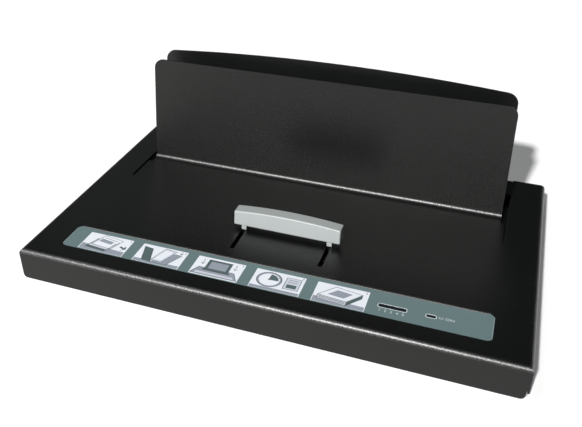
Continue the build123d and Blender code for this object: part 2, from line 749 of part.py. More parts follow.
# ---- Carriage: one folded sheet under the top cover -----------------------------------------
carriage_rear_y = back_rear_y + sheet
ear_y = post_front_y + post_depth / 2
ear_inner = post_spacing / 2 + post_width / 2 + post_seat
with BuildPart() as carriage:
    block(-arm_outer, arm_outer, cross_front_y, cross_rear_y, carriage_z, carriage_top_z)
    for side in sides:
        near, far = sorted((side * arm_inner, side * arm_outer))
        block(near, far, cross_rear_y, carriage_rear_y, carriage_z, carriage_top_z)
    corner_rows = carriage.edges().filter_by(Axis.Z).group_by(Axis.Y)
    fillet(corner_rows[0] + corner_rows[1], carriage_corner)
    for side in sides:
        near, far = sorted((side * (arm_outer - sheet), side * arm_outer))
        block(near, far, cross_front_y + flange_setback, back_rear_y, carriage_top_z,
              under_top_z - flange_drop)
        near, far = sorted((side * ear_inner, side * (ear_inner + sheet)))
        block(near, far, ear_y - ear_depth / 2, ear_y + ear_depth / 2, carriage_top_z,
              under_top_z - ear_gap)
        block(side * tab_x - tab_width / 2, side * tab_x + tab_width / 2, back_rear_y,
              carriage_rear_y, carriage_top_z, tab_top_z)
    fillet(carriage.edges().group_by(Axis.Z)[-1].filter_by(Axis.Y), tab_corner)
    tab_holes = [(side * tab_x, z) for side in sides for z in tab_screw_zs]
    drill(upright(back_rear_y), tab_holes, screw_radius + screw_play, sheet)
    ear_z = (carriage_top_z + under_top_z - ear_gap) / 2
    drill(Plane.YZ.offset(ear_inner + sheet), [(ear_y, ear_z)], handle_screw_radius + screw_play,
          2 * (ear_inner + sheet))

# ---- Back clamp plate -------------------------------------------------------------------------
with BuildPart() as back_plate:
    with BuildSketch(upright(back_front_y)):
        with BuildLine():
            end_z = top_z + back_plate_height
            foot_z = heater_top_z + plate_over_heater
            step_z = hook_top_z + slide_gap
            step_x = rail_inner - tab_clearance
            Polyline((-back_half, end_z), (-back_half, step_z), (-step_x, step_z), (-step_x, foot_z),
                     (step_x, foot_z), (step_x, step_z), (back_half, step_z), (back_half, end_z))
            ThreePointArc((back_half, end_z), (0, end_z + back_plate_crown), (-back_half, end_z))
        make_face()
        fillet(vertices().group_by(Axis.Y)[-1], back_plate_corner)
    extrude(amount=-sheet)
    drill(upright(back_front_y), tab_holes, screw_radius + screw_play, sheet)
back_plate_screws = pan_screws(upright(carriage_rear_y), tab_holes, 2 * sheet, side=-1)

# ---- Handle: an arched bar with two nubs, on two posts ----------------------------------------
bar_z = top_z + handle_lift
post_top_z = bar_z + post_tenon
post_xs = [side * post_spacing / 2 for side in sides]
post_rear_y = post_front_y + post_depth
with BuildPart() as handle:
    with BuildSketch(upright(handle_front_y)):
        with BuildLine():
            half = handle_length / 2
            Polyline((-half, bar_z + handle_height), (-half, bar_z), (half, bar_z),
                     (half, bar_z + handle_height))
            ThreePointArc((half, bar_z + handle_height), (0, bar_z + handle_height + handle_crown),
                          (-half, bar_z + handle_height))
        make_face()
    extrude(amount=-handle_depth)
    fillet(handle.edges(), handle_edge)
    for x in post_xs:
        block(x - post_width / 2 - nub_wall, x + post_width / 2 + nub_wall, post_front_y - nub_wall,
              post_rear_y + nub_wall, top_z + nub_gap, bar_z + handle_edge)
        block(x - post_width / 2 - post_seat, x + post_width / 2 + post_seat, post_front_y - post_seat,
              post_rear_y + post_seat, top_z + nub_gap, post_top_z + post_seat, mode=Mode.SUBTRACT)
with BuildPart() as handle_posts:
    for x in post_xs:
        block(x - post_width / 2, x + post_width / 2, post_front_y, post_rear_y, carriage_top_z,
              post_top_z)
    drill(Plane.YZ.offset(post_spacing), [(ear_y, ear_z)], handle_screw_radius + screw_play,
          2 * post_spacing)
with BuildPart() as handle_screws:
    for side in sides:
        with Locations(Plane((side * (ear_inner + sheet), ear_y, ear_z), z_dir=(side, 0, 0))):
            Cylinder(handle_head_radius, head_height, align=(Align.CENTER, Align.CENTER, Align.MIN))
            Cylinder(handle_screw_radius, sheet + post_seat + post_width,
                     align=(Align.CENTER, Align.CENTER, Align.MAX))

# ---- Power inlet --------------------------------------------------------------------------------
with BuildPart() as power_inlet:
    with BuildSketch(upright(rear_y + inlet_flange)):
        with Locations((inlet_x, wall_mid_z)):
            RectangleRounded(inlet_flange_length, inlet_flange_height, inlet_flange_corner)
    extrude(amount=inlet_flange)
    with Locations(*inlet_screw_planes):
        CounterSinkHole(screw_radius + screw_play, head_radius + screw_play, inlet_flange)
    with BuildSketch(upright(rear_y)):
        with Locations((inlet_x, wall_mid_z)):
            Rectangle(inlet_body_length, inlet_body_height)
            chamfer(vertices().group_by(Axis.Y)[-1], inlet_chamfer)
    extrude(amount=inlet_body_depth)
    with BuildSketch(upright(rear_y + inlet_flange)):
        with Locations((inlet_x, wall_mid_z)):
            Rectangle(inlet_body_length - 2 * inlet_wall, inlet_body_height - 2 * inlet_wall)
            chamfer(vertices().group_by(Axis.Y)[-1], inlet_chamfer)
    extrude(amount=inlet_socket_depth, mode=Mode.SUBTRACT)
    pin_points = [(inlet_x, wall_mid_z + pin_offset)] + [
        (inlet_x + side * pin_pitch, wall_mid_z - pin_offset) for side in sides]
    with BuildSketch(upright(rear_y + inlet_flange - inlet_socket_depth)):
        with Locations(*pin_points):
            Rectangle(pin_width, pin_height)
    extrude(amount=pin_recess - inlet_socket_depth)
    with BuildSketch(upright(rear_y - inlet_body_depth)):
        with Locations(*pin_points):
            Rectangle(blade_width, blade_thickness)
    extrude(amount=blade_length)
inlet_screws = sunk_screws(inlet_screw_planes)

# ---- Power switch: a rocker on pins in its housing ----------------------------------------------
pocket_half = rocker_length / 2 + rocker_gap
rocker_half = rocker_height / 2
pivot_y = rear_y + rocker_rise - rocker_pivot_depth
with BuildPart() as switch_housing:
    with BuildSketch(upright(rear_y + switch_bezel)):
        with Locations((switch_x, wall_mid_z)):
            RectangleRounded(switch_bezel_length, switch_bezel_height, switch_bezel_corner)
    extrude(amount=switch_bezel)
    with BuildSketch(upright(rear_y)):
        with Locations((switch_x, wall_mid_z)):
            Rectangle(switch_body_length, switch_body_height)
    extrude(amount=switch_body_depth)
    block(switch_x - pocket_half, switch_x + pocket_half, rear_y + switch_bezel - pocket_depth,
          rear_y + switch_bezel, wall_mid_z - rocker_half - rocker_side_gap,
          wall_mid_z + rocker_half + rocker_side_gap, mode=Mode.SUBTRACT)
    with BuildSketch(level(wall_mid_z)):
        with Locations((switch_x, pivot_y)):
            Circle(rocker_pin + rocker_pin_play)
    extrude(amount=rocker_half + rocker_pin_length + rocker_pin_play, both=True, mode=Mode.SUBTRACT)
    with BuildSketch(upright(rear_y - switch_body_depth)):
        with Locations((switch_x, wall_mid_z)):
            with GridLocations(switch_blade_pitch, 0, 2, 1):
                Rectangle(blade_thickness, blade_width)
    extrude(amount=blade_length)

rocker_plane = Plane((switch_x, pivot_y, wall_mid_z)).rotated((0, 0, -rocker_tilt))
with BuildPart() as power_rocker:
    with BuildSketch(rocker_plane):
        with BuildLine():
            half = rocker_length / 2
            low = rocker_pivot_depth - rocker_thickness
            Polyline((-half, rocker_pivot_depth), (0, rocker_pivot_depth - rocker_dish),
                     (half, rocker_pivot_depth), (half - rocker_taper, low),
                     (rocker_taper - half, low), close=True)
        make_face()
    extrude(amount=rocker_half, both=True)
    with BuildSketch(rocker_plane):
        Circle(rocker_pin)
    extrude(amount=rocker_half + rocker_pin_length, both=True)

# ---- Earth screw on the tray ----------------------------------------------------------------------
with BuildPart() as earth_stud:
    with BuildSketch(level(tray_z)):
        with Locations((earth_x, earth_y)):
            Circle(earth_radius)
    extrude(amount=earth_height)
    with BuildSketch(level(floor_z)):
        with Locations((earth_x, earth_y)):
            RegularPolygon(nut_radius, 6)
            Circle(earth_radius, mode=Mode.SUBTRACT)
    extrude(amount=nut_height)

pieces = {
    "top_cover": top_cover, "rear_cover": rear_cover, "rear_cover_screws": rear_cover_screws,
    "side_screws": side_screws, "base_tray": base_tray, "feet": feet,
    "overlay_panel": overlay_panel, "time_window": time_window, "heat_window": heat_window,
    "time_leds": time_leds, "heat_led": heat_led, "control_board": control_board,
    "board_standoffs": board_standoffs, "board_screws": board_screws, "transformer": transformer,
    "relay": relay, "capacitor": capacitor, "buzzer": buzzer, "terminal_block": terminal_block,
    "heater_plate": heater_plate, "heating_element": heating_element, "clamp_strip": clamp_strip,
    "clamp_strip_screws": clamp_strip_screws, "thermostat": thermostat, "thermal_fuse": thermal_fuse,
    "insulation_sheet": insulation_sheet, "heater_spacers": heater_spacers,
    "heater_screws": heater_screws, "guide_rail_right": guide_rail_right,
    "guide_rail_left": guide_rail_left, "rail_screws": rail_screws, "carriage": carriage,
    "back_plate": back_plate, "back_plate_screws": back_plate_screws, "handle": handle,
    "handle_posts": handle_posts, "handle_screws": handle_screws, "power_inlet": power_inlet, "inlet_screws": inlet_screws,
    "switch_housing": switch_housing, "power_rocker": power_rocker, "earth_stud": earth_stud,
}
for name, piece in pieces.items():
    piece.part.label = name
    export_step(piece.part, f"parts/{name}.step")
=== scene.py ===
"""Looks of the thermal binding machine: paint, print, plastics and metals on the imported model,
its prints and its cross-head screws as pieces of their own, and a plain studio."""
import json
from math import cos, pi, radians, sin

import bpy
from mathutils import Matrix, Vector


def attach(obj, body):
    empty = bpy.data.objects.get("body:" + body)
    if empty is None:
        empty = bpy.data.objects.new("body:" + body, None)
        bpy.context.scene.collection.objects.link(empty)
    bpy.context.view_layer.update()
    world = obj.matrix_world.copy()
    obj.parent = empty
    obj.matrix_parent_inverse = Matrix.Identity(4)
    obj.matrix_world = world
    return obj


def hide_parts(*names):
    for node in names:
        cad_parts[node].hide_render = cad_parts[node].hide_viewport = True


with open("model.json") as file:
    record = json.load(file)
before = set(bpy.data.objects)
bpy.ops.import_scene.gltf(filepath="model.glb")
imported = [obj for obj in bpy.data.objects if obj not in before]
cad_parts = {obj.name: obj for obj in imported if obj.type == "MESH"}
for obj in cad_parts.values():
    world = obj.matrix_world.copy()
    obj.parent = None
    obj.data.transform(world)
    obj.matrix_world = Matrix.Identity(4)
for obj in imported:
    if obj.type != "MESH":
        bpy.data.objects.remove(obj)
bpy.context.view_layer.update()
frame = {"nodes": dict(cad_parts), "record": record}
nodes = frame["nodes"]

MM = 0.001

# ---- Places shared with the model (millimetres) ---------------------------------------------
HALF_WIDTH = 205.0
REAR_Y = 141.3
TOP_Z = 30.0
STRIP_TOP_Z = 29.4            # printed face of the strip
STRIP_Y, STRIP_REAR_Y = -106.35, -89.4
STRIP_HALF_LENGTH, STRIP_HALF_DEPTH = 175.7, 16.95
WINDOW_Y = -108.5
TIME_WINDOW = (102.9, 20.2, 3.4)      # middle, length and depth
HEAT_WINDOW = (131.5, 6.2, 2.6)
FRONT_FOLD_Y, FRONT_FOLD_Z = -138.8, 25.5   # where the lip's round fold starts
PLATE_FOLD_Y, PLATE_FOLD_Z = 58.7, 34.0     # and the one at the foot of the front plate
PLATE_Y, PLATE_HALF = 62.7, 169.8
INLET_X, WALL_MID_Z = 150.0, 16.25
INLET_FLANGE = 2.0
INLET_SCREW_REACH = 20.0

# ---- Sizes of the print (millimetres) -------------------------------------------------------
CARD_LENGTH, CARD_DEPTH = 41.2, 26.4
CARD_PITCH, FIRST_CARD_X, CARD_Y = 50.75, -139.9, -108.5
CARD_CORNER = 0.5
CARD_FIGURE = 2.4             # height of a card's number
FIGURE_INSET = (2.0, 2.4)     # and its place from the card's corner
RIM_MARGIN, RIM_CORNER, RIM_LINE = 1.6, 1.3, 0.7      # outlines round the windows
SCALE_FIGURE, SCALE_PITCH, SCALE_DROP = 3.0, 4.4, 6.2     # figures under the time window
WAVES_REACH, WAVE_LINE = 7.2, 0.45                    # the sign beside the heat window
CAPTION_REACH, CAPTION_FIGURE = 13.6, 3.1             # and the letters after it
EDGE_REACH = 171.0            # half the length of the painted shade and highlight lines along the strip's rear edge
INK = 0.02                    # thickness of one layer of print
LINE = 0.55                   # usual width of a drawn line
FONT_SIZE = 1.4               # of the built-in font, for figures one millimetre high


# ---- Shader expressions ---------------------------------------------------------------------
class Value:
    """A node's output as a number; arithmetic on it adds Math nodes."""

    def __init__(self, finish, socket):
        self.finish = finish
        self.socket = socket

    def math(self, operation, *values):
        return self.finish.node("ShaderNodeMath", {"operation": operation}, dict(enumerate(values)))

    def __add__(self, other):
        return self.math("ADD", self, other)

    def __sub__(self, other):
        return self.math("SUBTRACT", self, other)

    def __mul__(self, other):
        return self.math("MULTIPLY", self, other)

    def __truediv__(self, other):
        return self.math("DIVIDE", self, other)

    def __gt__(self, other):
        return self.math("GREATER_THAN", self, other)

    def __lt__(self, other):
        return self.math("LESS_THAN", self, other)

    def __rsub__(self, other):
        return self.math("SUBTRACT", other, self)

    def __rtruediv__(self, other):
        return self.math("DIVIDE", other, self)

    __radd__ = __add__
    __rmul__ = __mul__

    def __abs__(self):
        return self.math("ABSOLUTE", self)

    def larger(self, other):
        return self.math("MAXIMUM", self, other)

    def smaller(self, other):
        return self.math("MINIMUM", self, other)

    def limited(self):
        """Held between 0 and 1."""
        return self.larger(0.0).smaller(1.0)

    def repeat(self, step):
        """The same value again every step, centred on zero."""
        return self.math("WRAP", self, step / 2, -step / 2)

    def outputs(self, count):
        """The first outputs of the node that this value comes from."""
        return [Value(self.finish, socket) for socket in self.socket.node.outputs[:count]]


class Finish:
    """The nodes that make the look of a new material, or of the world."""

    def __init__(self, name, kept_in=bpy.data.materials, where="Object"):
        self.owner = kept_in.new(name)
        self.owner.use_nodes = True
        self.tree = self.owner.node_tree
        self.tree.nodes.clear()
        self.where = self.node("ShaderNodeTexCoord", {}, {}, where)

    def node(self, kind, settings, inputs, output=0):
        """Add a node, set it, feed its inputs and give one of its outputs, if it has any.
        The setting "stops" is a colour ramp's two ends."""
        made = self.tree.nodes.new(kind)
        for name, setting in settings.items():
            if name == "stops":
                for element, (place, colour) in zip(made.color_ramp.elements, setting):
                    element.position = place
                    element.color = (*colour, 1.0)
            else:
                setattr(made, name, setting)
        for name, value in inputs.items():
            if isinstance(value, Value):
                self.tree.links.new(value.socket, made.inputs[name])
            else:
                made.inputs[name].default_value = value
        return Value(self, made.outputs[output]) if len(made.outputs) else None

    def axes(self):
        """The x, y and z of a place on the piece, in millimetres."""
        place = self.node("ShaderNodeVectorMath", {"operation": "SCALE"},
                          {0: self.where, "Scale": 1 / MM})
        return self.node("ShaderNodeSeparateXYZ", {}, {0: place}).outputs(3)

    def stretched(self, x, y, z):
        """Object coordinates scaled along each axis, for grain that runs one way."""
        return self.node("ShaderNodeVectorMath", {"operation": "MULTIPLY"},
                         {0: self.where, 1: (x, y, z)})

    def noise(self, per_metre, detail=2.0, rough=0.5, where=None):
        return self.node("ShaderNodeTexNoise", {}, {
            "Vector": where or self.where, "Scale": per_metre, "Detail": detail,
            "Roughness": rough})

    def cells(self, per_metre, output="Distance"):
        return self.node("ShaderNodeTexVoronoi", {},
                         {"Vector": self.where, "Scale": per_metre}, output)

    def mix(self, factor, first, second):
        """From one colour to the other as the factor goes from 0 to 1."""
        first, second = (c if isinstance(c, Value) else (*c, 1.0) for c in (first, second))
        return self.node("ShaderNodeMix", {"data_type": "RGBA"},
                         {0: factor, 6: first, 7: second}, 2)

    def bump(self, height, depth_mm, strength=1.0):
        return self.node("ShaderNodeBump", {}, {
            "Height": height, "Distance": depth_mm * MM, "Strength": strength})

    def surface(self, colour, roughness, normal=None, **rest):
        """Finish a material: its colour, roughness, relief and any other input by name."""
        inputs = {"Base Color": colour, "Roughness": roughness}
        if normal:
            inputs["Normal"] = normal
        inputs.update({name.replace("_", " "): value for name, value in rest.items()})
        shader = self.node("ShaderNodeBsdfPrincipled", {}, inputs)
        self.node("ShaderNodeOutputMaterial", {}, {"Surface": shader})
        return self.owner


def shade(*screen_values):
    """A colour written in 0-255 screen values, as the linear numbers that shaders take."""
    return tuple(((c / 255 + 0.055) / 1.055) ** 2.4 for c in screen_values)


def dimmed(colour, times):
    """A colour made darker or lighter, within what a surface can have."""
    return tuple(min(1.0, c * times) for c in colour)


# ---- Finishes -------------------------------------------------------------------------------
def powder_coat(name, colour, grain=1.0, gloss=0.34, relief=0.16, painted_fold_highlights=False):
    """Textured paint: small glossy pimples close together, with a faint cloudiness over them. When
    asked, a glossy coat is weighted onto the front fold, the fold at the plate's foot and the rear
    wall of the strip's recess, stronger to the left: a painted highlight along them."""
    coat = Finish(name)
    pimples = coat.noise(820 / grain, 2.0, 0.55)
    fine = coat.noise(2600 / grain, 2.0, 0.6)
    cloud = coat.noise(14.0, 3.0)
    tone = pimples * 0.45 + fine * 0.25 + cloud * 0.3
    paint = coat.mix(tone, dimmed(colour, 0.6), dimmed(colour, 1.5))
    rough = gloss + (fine - 0.5) * 0.12 + (cloud - 0.5) * 0.06
    painted_fold_sheen = {}
    if painted_fold_highlights:
        x, y, z = coat.axes()
        front = (FRONT_FOLD_Y - y).limited() * (z - FRONT_FOLD_Z).limited()
        foot = ((y - PLATE_FOLD_Y).limited() * (PLATE_FOLD_Z - z).limited()
                * ((y < PLATE_Y + 0.3) * (abs(x) < PLATE_HALF)))
        recess = (z < TOP_Z - 0.05) * (z > STRIP_TOP_Z - 0.2) * (abs(y - STRIP_REAR_Y) < 0.7)
        # Painted highlight: a coat mask on the folds and the recess wall, fading from left to
        # right.
        painted_highlight_weight = front * (0.78 - (x + HALF_WIDTH) * 0.0011) + foot * 0.40 + recess
        painted_fold_sheen = {"Coat_Weight": painted_highlight_weight * (pimples * 3.0 - 0.8).limited(),
                 "Coat_Roughness": 0.40, "Coat_IOR": 1.9}
    return coat.surface(paint, rough, coat.bump(pimples + fine * 0.25, relief * grain), IOR=1.42,
                        Specular_Tint=(1.0, 0.99, 0.96, 1.0), **painted_fold_sheen)


def moulded(name, colour, roughness, grain_per_metre=1500.0, depth=0.02):
    """Moulded plastic or rubber with a fine spark-eroded grain and slightly uneven gloss."""
    part = Finish(name)
    grain = part.noise(grain_per_metre, 2.0)
    flow = part.noise(60.0, 3.0)
    body = part.mix(flow, dimmed(colour, 0.85), dimmed(colour, 1.15))
    return part.surface(body, roughness + (grain - 0.5) * 0.1 + (flow - 0.5) * 0.06,
                        part.bump(grain, depth, 0.5))


def plated(name, colour, roughness, along=(40.0, 900.0, 900.0), spangle=0.0):
    """Rolled or plated metal: fine lines along the sheet, dull patches and, on zinc, spangles."""
    metal = Finish(name)
    lines = metal.noise(1.0, 3.0, 0.6, metal.stretched(*along))
    patches = metal.noise(30.0, 4.0)
    flakes = metal.cells(160.0, output="Color")
    glint = metal.node("ShaderNodeSeparateColor", {}, {0: flakes})
    tone = lines * 0.4 + patches * (0.6 - spangle) + glint * spangle
    skin = metal.mix(tone, dimmed(colour, 0.7), dimmed(colour, 1.15))
    rough = roughness + (lines - 0.5) * 0.16 + (glint - 0.5) * spangle * 0.5
    return metal.surface(skin, rough, metal.bump(lines, 0.01, 0.4), Metallic=1.0)


def plain_paint(name, colour, roughness, grain_per_metre, depth):
    """Smooth satin paint with a faint orange peel."""
    coat = Finish(name)
    peel = coat.noise(grain_per_metre, 2.0)
    cloud = coat.noise(25.0, 3.0)
    paint = coat.mix(cloud * 0.6 + peel * 0.4, dimmed(colour, 0.94), dimmed(colour, 1.05))
    return coat.surface(paint, roughness + (peel - 0.5) * 0.08, coat.bump(peel, depth, 0.4))


def strip_print():
    """Printed film: flat colour with a lighter cut edge and a faint emboss of the film."""
    film = Finish("strip_print")
    x, y, z = film.axes()
    inside = (STRIP_HALF_LENGTH - abs(x)).smaller(STRIP_HALF_DEPTH - abs(y - STRIP_Y))
    edge = (inside < 0.45) + (z < STRIP_TOP_Z - 0.05)
    grain = film.noise(1800.0, 2.0)
    cloud = film.noise(18.0, 2.0)
    tone = film.mix(cloud * 0.7 + grain * 0.3, shade(100, 121, 122), shade(107, 127, 128))
    colour = film.mix(edge.smaller(1.0), tone, shade(150, 164, 164))
    return film.surface(colour, 0.36 + (grain - 0.5) * 0.1, film.bump(grain, 0.008, 0.4))


def brushed_aluminium():
    """Extruded aluminium: long die lines along X and a soft bloom."""
    metal = Finish("heater_aluminium")
    lines = metal.noise(1.0, 4.0, 0.65, metal.stretched(6.0, 1500.0, 1500.0))
    bloom = metal.noise(40.0, 4.0)
    skin = metal.mix(lines * 0.5 + bloom * 0.5, (0.50, 0.51, 0.52), (0.82, 0.82, 0.82))
    return metal.surface(skin, 0.34 + (lines - 0.5) * 0.2 + (bloom - 0.5) * 0.1,
                         metal.bump(lines, 0.02, 0.5), Metallic=1.0)


def circuit_board():
    """Solder mask over copper tracks that run in steps across the board."""
    board = Finish("board_green")
    across = board.axes()[1]
    lane = abs(across.repeat(2.54)) < 0.35
    broken = board.noise(1.0, 0.0, 0.5, board.stretched(70.0, 390.0, 0.0)) > 0.5
    track = lane * broken
    pads = board.cells(390.0) < 0.18
    colour = board.mix(track, (0.012, 0.10, 0.03), (0.03, 0.19, 0.06))
    colour = board.mix(pads, colour, (0.55, 0.52, 0.45))
    return board.surface(colour, 0.3 + pads * 0.1, board.bump(track + pads, 0.035, 0.8))


def mica_board(name, colour):
    """Pressed mica or paper board: flaky layers and a few bright flecks."""
    sheet = Finish(name)
    flakes = sheet.cells(260.0)
    fibre = sheet.noise(1.0, 4.0, 0.6, sheet.stretched(90.0, 500.0, 500.0))
    tone = sheet.mix(flakes * 0.5 + fibre * 0.5, dimmed(colour, 0.7), dimmed(colour, 1.2))
    return sheet.surface(tone, 0.55 + (fibre - 0.5) * 0.2, sheet.bump(flakes + fibre, 0.05, 0.5))


def smoked_window():
    """Clear smoked plastic, nearly black from outside."""
    pane = Finish("smoked_window")
    ripple = pane.noise(220.0, 1.0)
    tint = pane.mix(ripple, (0.008, 0.010, 0.014), (0.016, 0.019, 0.024))
    return pane.surface(tint, 0.12 + (ripple - 0.5) * 0.05, pane.bump(ripple, 0.01, 0.3))


def led_body():
    """Diffused LED: milky with a slightly greener core."""
    lens = Finish("led_clear")
    swirl = lens.noise(500.0, 2.0)
    return lens.surface(lens.mix(swirl, (0.45, 0.72, 0.48), (0.62, 0.85, 0.64)),
                        0.2 + (swirl - 0.5) * 0.08, lens.bump(swirl, 0.01, 0.3))


def inlet_plastic():
    """The inlet: black thermoplastic; the pins and blades, inside and behind it, are metal."""
    pin_pitch, pin_rise, pin_half_width, pin_half_height = 7.0, 3.0, 1.02, 2.02
    pin_root_y, blade_root_y = REAR_Y - 11.9, REAR_Y - 16.55
    part = Finish("inlet_black")
    x, y, z = part.axes()
    grain = part.noise(1600.0, 2.0)
    across = abs(x - INLET_X).smaller(abs(abs(x - INLET_X) - pin_pitch))
    up = abs(z - (WALL_MID_Z - pin_rise)).smaller(abs(z - (WALL_MID_Z + pin_rise)))
    pin = ((across < pin_half_width) * (up < pin_half_height)
           * (y > pin_root_y) * (y < REAR_Y + 0.02))
    blade = y < blade_root_y
    metal = pin.larger(blade)
    colour = part.mix(metal, part.mix(grain, (0.010, 0.010, 0.011), (0.018, 0.018, 0.019)),
                      part.mix(grain, (0.62, 0.60, 0.55), (0.78, 0.76, 0.70)))
    return part.surface(colour, 0.32 - metal * 0.08 + (grain - 0.5) * 0.1,
                        part.bump(grain, 0.015, 0.4), Metallic=metal)


def ink(name, colour, roughness=0.42):
    """Screen-printed ink: nearly flat, with a faint mesh and uneven cover."""
    layer = Finish(name)
    mesh = layer.noise(1400.0, 1.0)
    cover = layer.noise(90.0, 2.0)
    tone = layer.mix(mesh * 0.4 + cover * 0.6, dimmed(colour, 0.95), dimmed(colour, 1.04))
    return layer.surface(tone, roughness + (mesh - 0.5) * 0.06, layer.bump(mesh, 0.004, 0.3))


PAINT = (0.0026, 0.0029, 0.0029)
EVEN_GRAIN = (300.0, 300.0, 300.0)
finishes = {
    # Black paint with painted highlights along its folds and the strip's recess wall.
    "black_paint": powder_coat("black_paint", PAINT, relief=0.20, painted_fold_highlights=True),
    "rear_paint": powder_coat("rear_paint", PAINT),
    "plate_paint": powder_coat("plate_paint", (0.0030, 0.0034, 0.0034), 0.8),
    "handle_grey": plain_paint("handle_grey", shade(157, 162, 161), 0.42, 700.0, 0.02),
    "strip_print": strip_print(),
    "smoked_window": smoked_window(),
    "led_clear": led_body(),
    "board_green": circuit_board(),
    "component_black": moulded("component_black", (0.016, 0.016, 0.017), 0.5),
    "component_blue": moulded("component_blue", (0.02, 0.06, 0.19), 0.35),
    "zinc_steel": plated("zinc_steel", (0.60, 0.61, 0.62), 0.36, spangle=0.3),
    "screw_zinc": plated("screw_zinc", (0.66, 0.66, 0.65), 0.28, EVEN_GRAIN),
    "screw_black": plated("screw_black", (0.035, 0.036, 0.037), 0.38, EVEN_GRAIN),
    "heater_aluminium": brushed_aluminium(),
    "mica": mica_board("mica", (0.42, 0.34, 0.20)),
    "spacer_phenolic": mica_board("spacer_phenolic", (0.16, 0.07, 0.03)),
    "guide_nylon": moulded("guide_nylon", (0.012, 0.012, 0.013), 0.45),
    "foot_rubber": moulded("foot_rubber", (0.014, 0.014, 0.014), 0.75, 1900.0, 0.04),
    "inlet_black": inlet_plastic(),
    "rocker_black": moulded("rocker_black", (0.010, 0.010, 0.011), 0.25),
    "earth_brass": plated("earth_brass", (0.66, 0.48, 0.18), 0.3, EVEN_GRAIN),
}
for part in frame["record"]["subparts"]:
    node = nodes[part["node"]]
    node.data.materials.clear()
    node.data.materials.append(finishes[part["material_slot"]])


# ---- Small tools for modelling --------------------------------------------------------------
def nothing_selected():
    if bpy.context.object and bpy.context.object.mode != "OBJECT":
        bpy.ops.object.mode_set(mode="OBJECT")
    bpy.ops.object.select_all(action="DESELECT")


def pick(*pieces):
    """Select these pieces alone, the first one active."""
    nothing_selected()
    for piece in pieces:
        piece.select_set(True)
    bpy.context.view_layer.objects.active = pieces[0]


def place_applied(piece):
    """Put a piece's place, turn and scale into its mesh."""
    pick(piece)
    bpy.ops.object.transform_apply(location=True, rotation=True, scale=True)


def settle(piece, name, finish, body):
    """Name a piece, put its place into its mesh, give it its finish and its body."""
    place_applied(piece)
    piece.name = name
    piece.data.name = name
    piece.data.materials.clear()
    piece.data.materials.append(finish)
    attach(piece, body)
    return piece


def joined(pieces):
    pick(*pieces)
    bpy.ops.object.join()
    return bpy.context.object


# ---- Print on the strip ---------------------------------------------------------------------
def ring(middle_x, middle_y, radius, count=28):
    turns = [2 * pi * step / count for step in range(count)]
    return [(middle_x + radius * cos(turn), middle_y + radius * sin(turn)) for turn in turns]


def rounded(length, depth, radius, steps=5):
    """A rectangle about zero with round corners."""
    points = []
    for quarter, (side, end) in enumerate(((1, 1), (-1, 1), (-1, -1), (1, -1))):
        for step in range(steps + 1):
            turn = pi / 2 * (quarter + step / steps)
            points.append((side * (length / 2 - radius) + radius * cos(turn),
                           end * (depth / 2 - radius) + radius * sin(turn)))
    return points


def laid(drawn, x, y, layer):
    """A drawn curve or text, made a mesh and lifted to its layer of ink."""
    bpy.context.collection.objects.link(drawn)
    drawn.location = (x * MM, y * MM, (STRIP_TOP_Z + INK * (layer + 0.5)) * MM)
    pick(drawn)
    bpy.ops.object.convert(target="MESH")
    return bpy.context.object


def drawn_lines(runs, closed):
    data = bpy.data.curves.new("line", "CURVE")
    for run in runs:
        line = data.splines.new("POLY")
        line.points.add(len(run) - 1)
        for point, (x, y) in zip(line.points, run):
            point.co = (x * MM, y * MM, 0.0, 1.0)
        line.use_cyclic_u = closed
    return data


def filled(outline, x, y, layer):
    """A closed outline, in millimetres about a centre, as a thin filled layer of ink."""
    data = drawn_lines([outline], True)
    data.dimensions = "2D"
    data.fill_mode = "BOTH"
    data.extrude = INK / 2 * MM
    return laid(bpy.data.objects.new("shape", data), x, y, layer)


def stroked(runs, x, y, layer, width=LINE, closed=False):
    """Lines of ink along runs of points: a round bead, pressed flat."""
    data = drawn_lines(runs, closed)
    data.dimensions = "3D"
    data.bevel_depth = width / 2 * MM
    data.bevel_resolution = 1
    data.use_fill_caps = True
    piece = laid(bpy.data.objects.new("line", data), x, y, layer)
    piece.scale.z = INK / width
    return piece


def figures(text, x, y, height, layer):
    """Plain figures, thin as the ink."""
    data = bpy.data.curves.new("figures", "FONT")
    data.body = text
    data.size = height * FONT_SIZE * MM
    data.align_x = "CENTER"
    data.align_y = "CENTER"
    data.extrude = INK / 2 * MM
    data.resolution_u = 3
    return laid(bpy.data.objects.new("figures", data), x, y, layer)


inks = {
    "card": ink("card_white", shade(236, 240, 247)),
    "pale": ink("ink_pale", shade(205, 210, 220)),
    "mist": ink("ink_mist", shade(150, 157, 168)),
    "teal": ink("ink_teal", shade(86, 104, 104)),
    # Painted highlight: the lit rear wall of the strip's recess, drawn as a warm-grey line of ink.
    "edge": ink("ink_painted_wall_highlight", shade(150, 140, 134)),
    "dark": ink("ink_dark", shade(72, 80, 86)),
    "white": ink("ink_white", shade(206, 214, 216)),
}

